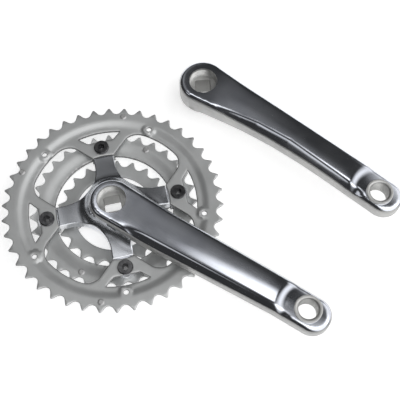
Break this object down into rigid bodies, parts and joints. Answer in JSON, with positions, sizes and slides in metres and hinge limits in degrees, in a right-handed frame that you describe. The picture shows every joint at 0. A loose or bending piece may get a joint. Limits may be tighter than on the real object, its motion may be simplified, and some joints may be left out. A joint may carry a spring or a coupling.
{
  "type": "bicycle crankset",
  "caption": "Triple square-taper crankset: polished right crank with four-arm spider and three pressed steel chainrings, and its loose left crank arm.",
  "frame": {"origin": "on the spindle axis at the inboard face of the right crank's hub", "axes": "+Z along the spindle axis, outboard; +X along the right crank arm towards its pedal end; +Y towards the loose left crank arm"},
  "size_m": [0.2765, 0.2342, 0.0468],
  "materials": {
    "polished_arm": "polished",
    "ring_steel": "satin",
    "black_bolt": "satin black"
  },
  "bodies": {
    "right_crankset": {"right_crank_arm": "polished_arm", "outer_chainring": "ring_steel", "middle_chainring": "ring_steel", "inner_chainring": "ring_steel", "outer_bolt_1": "black_bolt", "outer_sleeve_nut_1": "black_bolt", "inner_bolt_1": "black_bolt", "outer_bolt_2": "black_bolt", "outer_sleeve_nut_2": "black_bolt", "inner_bolt_2": "black_bolt", "outer_bolt_3": "black_bolt", "outer_sleeve_nut_3": "black_bolt", "inner_bolt_3": "black_bolt", "outer_bolt_4": "black_bolt", "outer_sleeve_nut_4": "black_bolt", "inner_bolt_4": "black_bolt", "outer_shift_pin_1": "ring_steel", "outer_shift_pin_2": "ring_steel", "outer_shift_pin_3": "ring_steel", "outer_shift_pin_4": "ring_steel", "middle_shift_pin_1": "ring_steel", "middle_shift_pin_2": "ring_steel"},
    "left_arm": {"left_crank_arm": "polished_arm"}
  },
  "joints": [
    {"name": "left_arm_lift", "type": "slide", "parent": "right_crankset", "child": "left_arm", "axis": [0, 0, 1], "range_m": [0, 0.06]}
  ]
}
